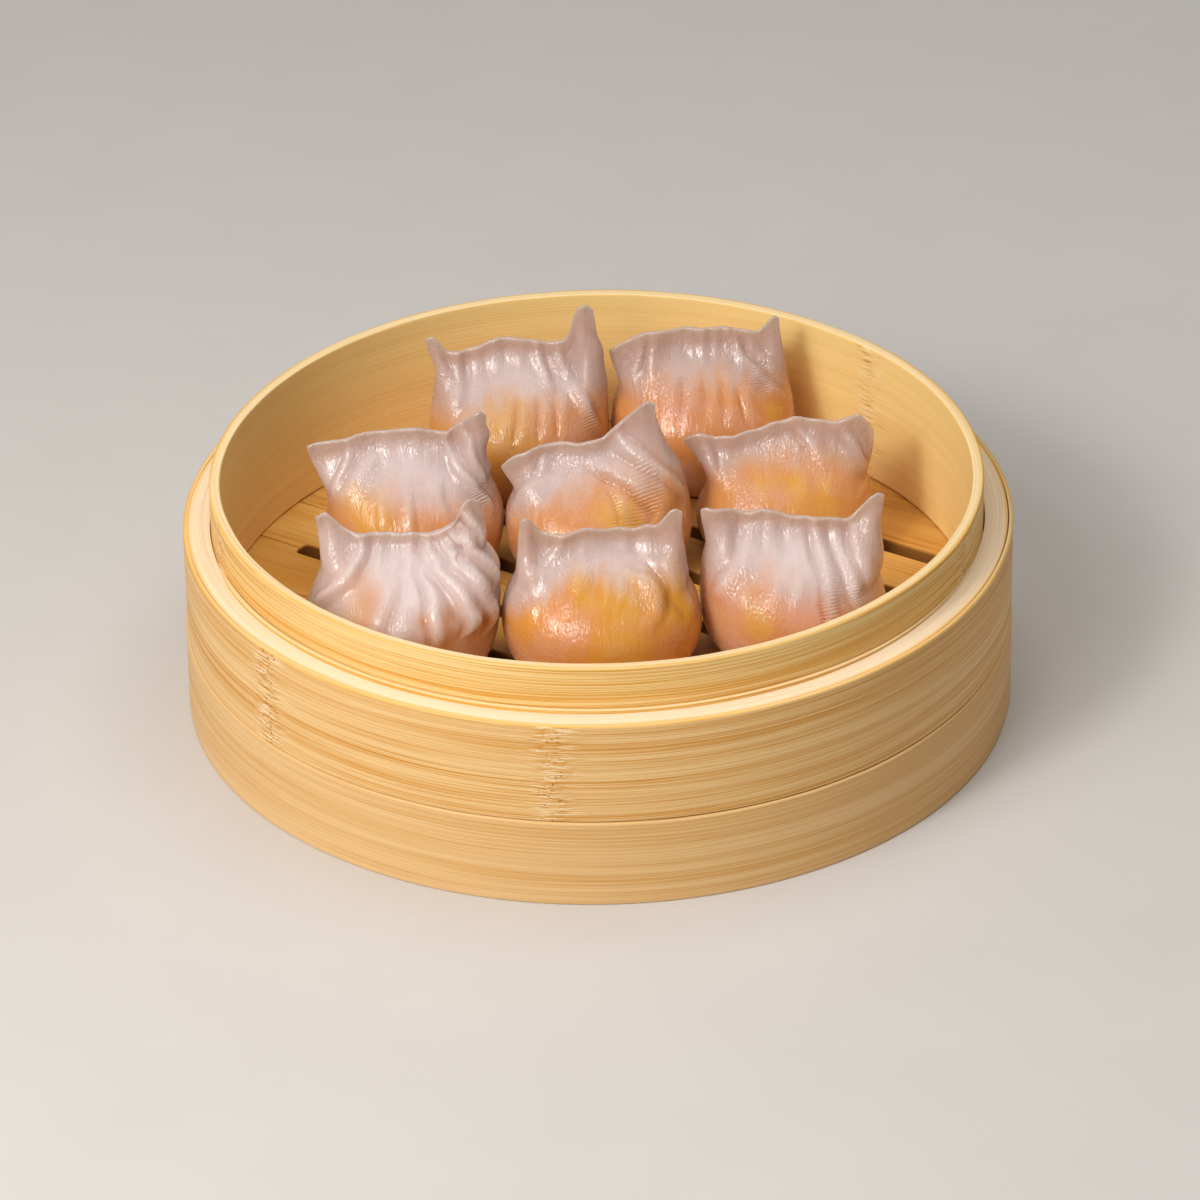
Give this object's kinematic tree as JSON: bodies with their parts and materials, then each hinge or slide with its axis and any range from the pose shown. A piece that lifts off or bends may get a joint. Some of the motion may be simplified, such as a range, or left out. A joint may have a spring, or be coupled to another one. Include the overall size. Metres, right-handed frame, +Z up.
{
  "type": "steamer basket of har gow dumplings",
  "caption": "Open round bamboo steamer tier with pleated, translucent prawn dumplings standing on its slatted floor.",
  "frame": {"origin": "centre of the steamer, on the surface it stands on", "axes": "+Z up along the steamer's axis; +X to the right and +Y to the back as the dumplings' pleated fronts face the viewer, who looks along +Y"},
  "size_m": [0.2036, 0.2036, 0.0724],
  "materials": {
    "hoop_bamboo": "satin bamboo, split strips bent into hoops, fine grain along the hoop",
    "pale_bamboo": "pale cut end grain, matt",
    "floor_bamboo": "satin golden bamboo boards, grain along each board",
    "dumpling_skin": null
  },
  "bodies": {
    "root": {"lower_hoop": "hoop_bamboo", "floor_shelf": "hoop_bamboo", "upper_hoop": "pale_bamboo", "upper_band": "hoop_bamboo", "rim_hoop": "hoop_bamboo", "floor_board_01": "floor_bamboo", "floor_board_02": "floor_bamboo", "floor_board_03": "floor_bamboo", "floor_board_04": "floor_bamboo", "floor_board_05": "floor_bamboo", "floor_board_06": "floor_bamboo", "floor_board_07": "floor_bamboo", "floor_board_08": "floor_bamboo", "floor_board_09": "floor_bamboo", "floor_board_10": "floor_bamboo", "dumpling_front_left": "dumpling_skin", "dumpling_front_middle": "dumpling_skin", "dumpling_front_right": "dumpling_skin", "dumpling_middle_left": "dumpling_skin", "dumpling_middle": "dumpling_skin", "dumpling_middle_right": "dumpling_skin", "dumpling_back_left": "dumpling_skin", "dumpling_back_right": "dumpling_skin"}
  },
  "joints": []
}
